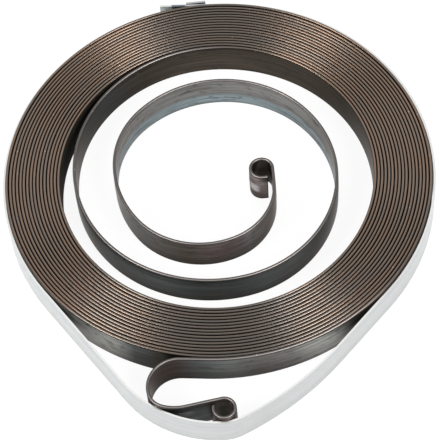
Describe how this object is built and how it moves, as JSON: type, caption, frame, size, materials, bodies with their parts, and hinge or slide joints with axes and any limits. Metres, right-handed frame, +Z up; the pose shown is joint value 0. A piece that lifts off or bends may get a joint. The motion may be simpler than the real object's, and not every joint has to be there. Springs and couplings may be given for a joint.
{
  "type": "spiral power spring",
  "caption": "Flat spiral power spring: a tight pack of blued steel strip with loose inner turns, a rolled eye at each end, held in a thin steel shipping strap.",
  "frame": {"origin": "axis of the packed turns, on the plane that the coil rests on", "axes": "+Z up along the coil's axis, +Y from the outer hook to the strap's closure, +X to the right"},
  "size_m": [0.0803, 0.0929, 0.0071],
  "materials": {
    "spring_steel": "blued spring steel strip, dark grey faces and bronze edges, lightly oiled",
    "strap_steel": "thin pale galvanised strapping, satin with a faint grain along its length"
  },
  "bodies": {
    "root": {"spiral_spring": "spring_steel", "retaining_strap": "strap_steel"}
  },
  "joints": []
}
